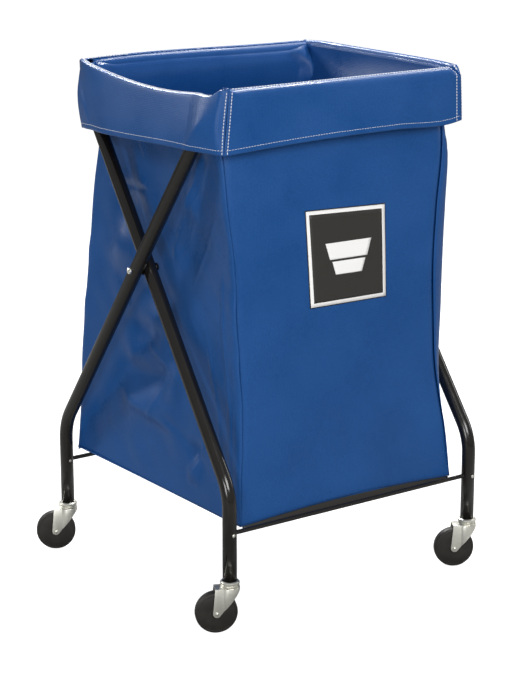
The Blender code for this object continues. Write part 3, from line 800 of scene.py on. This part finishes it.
def left_creases(y, z):
    """Creases and tilted patches in the left panel, where it is drawn towards the tubes and seams."""
    out = 0.0
    for first, last, width, height, *fade in (
        ((-0.16, 0.83), (-0.045, 0.64), 0.0055, 0.005),
        ((-0.175, 0.83), (-0.065, 0.64), 0.006, -0.0034),
        ((-0.19, 0.72), (-0.11, 0.6), 0.0035, 0.0018),
        ((0.05, 0.74), (0.19, 0.735), 0.005, -0.0034),
        ((0.055, 0.8), (0.08, 0.845), 0.005, 0.0034),
        ((0.02, 0.6), (0.1, 0.5), 0.011, 0.0034),
        ((-0.06, 0.305), (0.11, 0.345), 0.012, 0.004, 0.03),
        ((-0.02, 0.42), (0.03, 0.31), 0.006, 0.0026),
        ((0.04, 0.46), (-0.06, 0.4), 0.006, 0.0024),
        ((-0.13, 0.27), (-0.02, 0.33), 0.009, -0.003, 0.03),
        ((-0.1, 0.235), (-0.13, 0.3), 0.007, 0.0034),
        ((-0.215, 0.25), (-0.2, 0.62), 0.0045, 0.0024, 0.04),
        ((-0.185, 0.3), (-0.15, 0.5), 0.0045, 0.0016, 0.04),
    ):
        out = out + ridge(y, z, first, last, width, height, *fade)
    for middle, half, tilt in (
        ((0.02, 0.37), (0.075, 0.045), (-0.05, -0.42)),
        ((0.06, 0.45), (0.035, 0.04), (0.05, -0.34)),
        ((-0.035, 0.425), (0.022, 0.05), (-0.12, -0.36)),
        ((0.01, 0.53), (0.05, 0.035), (-0.02, -0.34)),
        ((0.12, 0.66), (0.045, 0.06), (0.02, -0.3)),
        ((-0.11, 0.265), (0.018, 0.03), (-0.1, -0.4)),
        ((-0.115, 0.77), (0.02, 0.045), (-0.15, -0.34)),
    ):
        out = out + facet(y, z, middle, half, tilt)
    slow = 0.0024 * np.sin(9 * y + 7 * z) * np.sin(11 * z - 5 * y + 1)
    fine = 0.001 * np.sin(41 * y + 23 * z) * np.sin(37 * z - 19 * y)
    fine = fine + 0.0006 * np.sin(83 * y - 61 * z + 2 * np.sin(17 * z)) * np.sin(29 * z + 13 * y)
    return out + (slow + fine) * smooth(z, 0.18, 0.26)


def floor_panel():
    u, v = unit_grid(61, 61)
    x_front = -0.24 + 0.4825 * u
    x_back = -0.2835 + 0.514 * u
    y = -0.243 + 0.4925 * v
    x = x_front + (x_back - x_front) * v
    edge_left, edge_right = side_bottom(v, -1), side_bottom(v, 1)
    z = edge_left + (edge_right - edge_left) * u
    z = z + (front_bottom(x_front) - FOOT_HEIGHT) * (1 - v) ** 3
    z = z - (0.004 * np.sin(np.pi * u) - 0.001 * np.sin(9 * u + 2 * v)) * np.sin(np.pi * v)
    return np.stack([x, y, z], 2)


# Cuff shape -----------------------------------------------
def through(points, count):
    """Columns of points at even steps along a smooth curve through given columns of points."""
    knots = np.linspace(0, 1, len(points))
    slopes = np.gradient(np.array(points), knots, axis=0)
    out = []
    for t in np.linspace(0, 1, count):
        i = min(int(t * (len(points) - 1)), len(points) - 2)
        run, j = knots[i + 1] - knots[i], i + 1
        out.append(between((t - knots[i]) / run, run, points[i], points[j], slopes[i], slopes[j]))
    return np.stack(out, 1)


def cuff_end(side):
    """The front (-1) or back (1) of the cuff: from over its bar down to the hem, hanging straight."""
    u = np.linspace(0, 1, 121)
    corner = smooth(np.abs(2 * u - 1), 0.86, 1.0)
    if side < 0:
        hem_left, hem_right, rim_left, rim_right = -0.2828, 0.2345, -0.2718, 0.2305
        hem, rim, y_corner = FRONT_HEM(u), FRONT_RIM(u), CUFF_FRONT
    else:
        hem_left, hem_right, rim_left, rim_right = -0.25, 0.272, -0.252, 0.266
        hem, rim, y_corner = BACK_HEM(u), BACK_RIM(u), CUFF_BACK
    v = np.linspace(0, 1, 31)[None, :]
    top = rim - turn_size(CUFF_TURN, corner, CORNER_HEIGHT)
    z = hem[:, None] + (top - hem)[:, None] * v
    x = hem_left + (hem_right - hem_left) * u[:, None] + 0 * v
    x_top = rim_left + (rim_right - rim_left) * u[:, None]
    x = x + (x_top - x) * v
    bow = 0.007 * (1 - (2 * u - 1) ** 2) + 0.0008 * np.sin(11 * u + 1)
    y_hem = y_corner + side * bow
    y_top = side * (TOP_BAR_Y + turn_size(CUFF_TURN, corner, CORNER_WIDTH))
    y = y_hem[:, None] * (1 - v**1.5) + y_top[:, None] * v**1.5
    return over_bar(x, y, z, side, 4, 112, CUFF_TURN, corner, rim)


def cuff_side(sign):
    """A side of the cuff: from the hem up outside the tubes, and over its rim."""
    y = np.linspace(CUFF_FRONT, CUFF_BACK, 171)
    hem, rim = HEM_OUT[sign](y), RIM_OUT[sign](y)
    low, high = HEM_HIGH[sign](y), RIM_HIGH[sign](y)
    from_end = np.minimum(y - CUFF_FRONT, CUFF_BACK - y)
    roll = np.clip(from_end / 0.02, 0.15, 1)
    rows = [
        np.stack([hem + (rim - hem) * share**1.25, y, low + (high - 0.004 - low) * share], 1)
        for share in (0, 0.25, 0.5, 0.75, 1)
    ]
    rows += [
        np.stack([rim - across * roll, y, high - down], 1)
        for across, down in (
            (0.003, 0.001), (0.008, 0), (0.013, 0.0015), (0.0156, 0.006), (0.016, 0.014),
        )
    ]
    grid = through(rows, CUFF_ROWS + 1)
    crest = CUFF_ROWS * 4 // (len(rows) - 1)  # the row where the roll over the rim starts
    out, z = grid[:, :, 0], grid[:, :, 2]
    moved_out = outside_tubes(out, grid[:, :, 1], z, sign) - out
    moved_out[:, crest + 1 :] = moved_out[:, crest : crest + 1]
    held = smooth(from_end, 0.0, 0.012)[:, None]
    grid[:, :, 0] = (out + moved_out * held) * sign
    return grid


def sleeve(path, side):
    """Cloth turned over a top bar and its shoulders. side is the way the bag's outside faces."""
    keep = [p for p in path if p.z > TOP_BAR_HEIGHT - 0.04]
    radius = TUBE_RADIUS + 0.0004 + CLOTH / 2
    lean = Vector((0, -side * 0.5946, -0.8038))  # down the legs
    grid, dense = [], []
    for first, second in zip(keep, keep[1:]):
        dense += split(first, second, 0.006)
    dense.append(keep[-1])
    for index, here in enumerate(dense):
        along = (dense[min(index + 1, len(dense) - 1)] - dense[max(index - 1, 0)]).normalized()
        on_bar = abs(along.z) < 0.2
        up = Vector((0, 0, 1)) - along * along.z if on_bar else -lean + along * lean.dot(along)
        up = up.normalized()
        out = along.cross(up).normalized()
        if out.y * side < 0:
            out = -out
        column = []
        for step in range(21):
            turn = math.radians(-20 + 220 * step / 20)
            column.append(here + radius * (math.cos(turn) * out + math.sin(turn) * up))
        grid.append(column)
    return np.array(grid)


def stitches(name, line, pitch=0.0055, thick=0.0005):
    """A row of thread stitches along a line of points, each a little proud of the cloth."""
    line = place(line)
    lengths = np.concatenate([[0], np.cumsum(np.linalg.norm(np.diff(line, axis=0), axis=1))])
    sides = 5
    points, faces = [], []
    for number in range(int(lengths[-1] / pitch)):
        ends = []
        for share in (0.12, 0.88):
            at = (number + share) * pitch
            ends.append(Vector([np.interp(at, lengths, line[:, axis]) for axis in range(3)]))
        along = (ends[1] - ends[0]).normalized()
        side = along.orthogonal().normalized()
        up = along.cross(side)
        base = len(points)
        for share, radius in ((0, 0.4 * thick), (0.2, thick), (0.8, thick), (1, 0.4 * thick)):
            here = ends[0].lerp(ends[1], share)
            for step in range(sides):
                turn = 2 * math.pi * step / sides
                points.append(here + radius * (math.cos(turn) * side + math.sin(turn) * up))
        for a in range(base, base + 3 * sides, sides):
            for step in range(sides):
                after = (step + 1) % sides
                b = a + sides
                faces.append((a + step, a + after, b + after, b + step))
        faces.append(tuple(base + step for step in reversed(range(sides))))
        faces.append(tuple(base + 3 * sides + step for step in range(sides)))
    made = link(name, mesh(name, points, faces), THREAD, smooth_angle=None)
    return fold_with_bag(made)


def lifted(grid, columns, rows, lift):
    """Points on a grid's surface, raised off it on the side that faces away from the bag's middle."""
    across = np.gradient(grid, axis=0)
    up = np.gradient(grid, axis=1)
    normal = np.cross(across, up)
    normal /= np.linalg.norm(normal, axis=2)[:, :, None]
    middle = np.array([0, 0, 0.9])
    facing = np.sign((normal * (grid - middle)).sum(2))[:, :, None]
    raised = grid + normal * facing * lift
    columns, rows = np.broadcast_arrays(np.asarray(columns, float), np.asarray(rows, float))
    i0, j0 = np.floor(columns).astype(int), np.floor(rows).astype(int)
    i0, j0 = np.clip(i0, 0, grid.shape[0] - 2), np.clip(j0, 0, grid.shape[1] - 2)
    a, b = (columns - i0)[:, None], (rows - j0)[:, None]
    low = raised[i0, j0] * (1 - a) + raised[i0 + 1, j0] * a
    high = raised[i0, j0 + 1] * (1 - a) + raised[i0 + 1, j0 + 1] * a
    return low * (1 - b) + high * b


def row_at(grid, distance):
    """For each column of a grid, the row at a distance along the cloth from its first edge."""
    steps = np.linalg.norm(np.diff(grid, axis=1), axis=2)
    lengths = np.hstack([np.zeros((grid.shape[0], 1)), np.cumsum(steps, 1)])
    rows = np.arange(grid.shape[1])
    return np.array([np.interp(distance, column, rows) for column in lengths])


def bag(on_front):
    """The bag's five panels. on_front, the label's pieces, is not used."""
    # A black strip hangs from the bag's front bottom edge down to the rod: the floor's front edge
    # sagging there, its black painted shade.
    u, v = unit_grid(61, 5)
    x = -0.236 + 0.474 * u
    high = front_bottom(x) + 0.002
    z = high + (0.1775 - high) * v
    shaded_floor_edge = cloth("floor_edge_painted_shade", np.stack([x, -0.2415 - 0.004 * v, z], 2), LABEL_BLACK)[0]
    fold_with_bag(shaded_floor_edge)
    for name, grid, node in (
        ("panel_front", end_panel(-1), "bag_front_panel"),
        ("panel_back", end_panel(1), "bag_back_panel"),
        ("panel_left", side_panel(-1), "bag_left_panel"),
        ("panel_right", side_panel(1), "bag_right_panel"),
        ("panel_floor", floor_panel(), "bag_floor_panel"),
    ):
        made, flat = cloth(name, grid, VINYL)
        fold_with_bag(made)
        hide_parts(node)


def cuff():
    """The cuff's four lengths with their stitches, and the cloth round each bar under it."""
    for side, grid, rim_row, end_columns in (
        ("front", cuff_end(-1), 40.2, (1.3, 117.4)),
        ("back", cuff_end(1), 44.0, (1.3, 118.7)),
        ("left", cuff_side(-1), 46.0, (1.0, 169.0)),
        ("right", cuff_side(1), 52.0, (1.0, 169.0)),
    ):
        made, flat = cloth("cuff_cloth_" + side, grid, VINYL)
        fold_with_bag(made)
        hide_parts("cuff_" + side)
        columns = np.linspace(0.5, grid.shape[0] - 1.5, 160)
        rows = np.interp(columns, np.arange(grid.shape[0]), row_at(grid, 0.009))
        hem = lifted(grid, columns, rows, STITCH_LIFT)
        # Thick pale threads along each rim: real topstitching, drawn bold so that their pale line is
        # also a painted highlight along the rim's crest.
        rim = lifted(grid, columns[3:-3], rim_row, STITCH_LIFT)
        threads = [
            stitches("hem_stitches_" + side, hem),
            stitches("rim_stitches_and_highlight_" + side, rim, 0.006, 0.0014),
        ]
        top = row_at(grid, 0.107)
        for end, column in enumerate(end_columns):
            line = lifted(grid, column, np.linspace(0.5, top[round(column)], 60), STITCH_LIFT)
            name = f"corner_stitches_{side}_{end}"
            threads.append(stitches(name, line, thick=0.0009))
    for name, path, side, body, node in (
        ("front", FRONT_BAR_PATH, -1, BARS[0], "cloth_over_front_bar"),
        ("back", BACK_BAR_PATH, 1, BARS[1], "cloth_over_back_bar"),
    ):
        made, flat = cloth("bar_cloth_" + name, sleeve(path, side), VINYL)
        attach(made, body)
        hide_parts(node)


def label():
    """The square patch on the front: black with a white border, and a plain wash-tub sign."""
    last_row = PANEL_ROWS - 3
    surface = end_panel(-1)[:, : last_row + 1]

    def on_front(x, z, lift):
        """Points on the front panel at (x, z), raised off it."""
        across = (x - front_left(z)) / (front_right(z) - front_left(z))
        bottom = front_bottom(FOOT_LEFT + FOOT_WIDTH * across)
        top = FRONT_RIM(across) - RIM_LAP - PANEL_TURN
        columns = np.clip(across, 0, 1) * (surface.shape[0] - 1)
        rows = np.clip((z - bottom) / (top - bottom) * PANEL_ROWS, 0, last_row)
        return lifted(surface, columns.ravel(), rows.ravel(), lift).reshape(*np.shape(x), 3)

    def patch(name, corners, lift, material, steps=24):
        """A four-cornered patch: (x, z) at its bottom left, bottom right, top left and top right."""
        u, v = unit_grid(steps, steps)
        shares = (1 - u) * (1 - v), u * (1 - v), (1 - u) * v, u * v
        x, z = (sum(share * corner[axis] for share, corner in zip(shares, corners)) for axis in (0, 1))
        made = cloth(name, on_front(x, z, lift), material, 0.0005)[0]
        return fold_with_bag(made)

    def inset(amount):
        """The label's corners, brought in by an amount."""
        outer = ((-0.0885, 0.5555), (0.0835, 0.554), (-0.0985, 0.7315), (0.0795, 0.7255))
        inwards = ((1, 1), (-1, 1), (1, -1), (-1, -1))
        return [(x + a * amount, z + b * amount) for (x, z), (a, b) in zip(outer, inwards)]

    edge = patch("label_edge", inset(0), 0.0011, LABEL_BLACK)
    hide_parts("label_patch")
    border = patch("label_border", inset(0.0018), 0.0015, LABEL_WHITE)
    field = patch("label_field", inset(0.0085), 0.0019, LABEL_BLACK)
    pieces = [edge, border, field]
    sign = [
        ((-0.045, 0.638), (0.038, 0.637), (-0.055, 0.668), (0.047, 0.667)),
        ((-0.032, 0.61), (0.026, 0.609), (-0.04, 0.634), (0.034, 0.633)),
    ]
    for number, corners in enumerate(sign):
        pieces.append(patch(f"label_sign_{number}", corners, 0.0022, LABEL_WHITE, 14))
    return pieces


def keep_cad_pieces():
    """Small hardware that is shown as it is in the part, with this scene's finishes."""
    finishes = {
        "pivot_bolt": ZINC,
        "pivot_washer": PAINT,
        "pivot_nut": PAINT,
        "rod_rivet": ZINC,
        "front_rod": PAINT,
        "back_rod": PAINT,
        "stem_socket": PLASTIC,
    }
    for name, node in frame["nodes"].items():
        for start, material in finishes.items():
            if name.startswith(start):
                node.data.materials.clear()
                node.data.materials.append(material)


# Studio ---------------------------------------------------
CAMERA_TURN = -35.29  # degrees round from straight in front, and above level
CAMERA_PITCH = 15.07
CAMERA_DISTANCE = 3.7347
CAMERA_TARGET = (-0.0233, 0, 0.4407)
CAMERA_LENS = 105.589333  # in millimetres, on the sensor below
CAMERA_SENSOR = 36
LAMP_TARGET = (0, 0, 0.5)


def aimed(made, where, target):
    made.location = where
    made.rotation_euler = (target - where).to_track_quat("-Z", "Y").to_euler()


def camera_sees(tree, shown, other, output):
    """Gives a material or a world one shader for the camera and another for all other rays."""
    ray, mix = tree.nodes.new("ShaderNodeLightPath"), tree.nodes.new("ShaderNodeMixShader")
    tree.links.new(ray.outputs["Is Camera Ray"], mix.inputs[0])
    tree.links.new(other.outputs[0], mix.inputs[1])
    tree.links.new(shown.outputs[0], mix.inputs[2])
    tree.links.new(mix.outputs[0], tree.nodes[output].inputs["Surface"])


def studio():
    """A white sweep that only the camera sees as white, a dim room, and a few soft lamps."""
    half = 40
    corners = [(-half, -half, 0), (half, -half, 0), (half, half, 0), (-half, half, 0)]
    data = mesh("studio_floor", corners, [(0, 1, 2, 3)])
    floor = show("studio_floor", data)
    pale = bpy.data.materials.new("studio_white")
    pale.use_nodes = True
    tree = pale.node_tree
    tree.nodes.remove(tree.nodes["Principled BSDF"])
    glow, dull, dim, add = (
        tree.nodes.new("ShaderNode" + kind)
        for kind in ("Emission", "BsdfDiffuse", "BsdfDiffuse", "AddShader")
    )
    glow.inputs["Strength"].default_value = 0.88
    dull.inputs["Color"].default_value = (0.4, 0.4, 0.4, 1)
    dim.inputs["Color"].default_value = (0.32, 0.32, 0.31, 1)
    tree.links.new(glow.outputs[0], add.inputs[0])
    tree.links.new(dull.outputs[0], add.inputs[1])
    camera_sees(tree, add, dim, "Material Output")
    data.materials.append(pale)
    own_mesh(floor)
    world = bpy.data.worlds.new("studio")
    bpy.context.scene.world = world
    world.use_nodes = True
    lit, white = world.node_tree.nodes["Background"], world.node_tree.nodes.new("ShaderNodeBackground")
    lit.inputs["Color"].default_value = (1, 1, 1, 1)
    lit.inputs["Strength"].default_value = 0.34
    white.inputs["Strength"].default_value = 1.0
    camera_sees(world.node_tree, white, lit, "World Output")
    for name, where, size, power in (
        ("key", (-0.9, -3.6, 2.3), (1.8, 1.4), 84),
        ("side", (-2.8, -1.9, 1.0), (0.9, 0.9), 26),
        ("strip", (-2.3, 3.0, 2.3), (0.4, 0.8), 50),
        ("left_rim", (0.7, 2.5, 2.7), (0.4, 0.4), 85),
        ("front_rim", (1.7, 0.6, 3.3), (0.4, 0.4), 85),
        ("edge", (3.0, -1.0, 1.4), (0.5, 1.4), 10),
    ):
        lamp = bpy.data.lights.new(name, "AREA")
        lamp.shape = "RECTANGLE"
        lamp.size, lamp.size_y = size
        lamp.energy = power
        made = show(name, lamp)
        made.visible_camera = False
        aimed(made, Vector(where) + SHIFT, Vector(LAMP_TARGET) + SHIFT)


def camera():
    """The view: from the front left and a little above."""
    turn, pitch = math.radians(CAMERA_TURN), math.radians(CAMERA_PITCH)
    target = Vector(CAMERA_TARGET) + SHIFT
    level = math.cos(pitch)
    back = Vector((math.sin(turn) * level, -math.cos(turn) * level, math.sin(pitch)))
    data = bpy.data.cameras.new("camera")
    data.sensor_width = CAMERA_SENSOR
    data.lens = CAMERA_LENS
    made = show("camera", data)
    aimed(made, target + back * CAMERA_DISTANCE, target)
    scene = bpy.context.scene
    scene.camera = made
    scene.view_settings.view_transform = "Standard"


tube("front_bar_tube", FRONT_BAR_PATH, BARS[0], BARS[0])
tube("back_bar_tube", BACK_BAR_PATH, BARS[1], BARS[1])
casters()
bag(label())
cuff()
keep_cad_pieces()
studio()
camera()
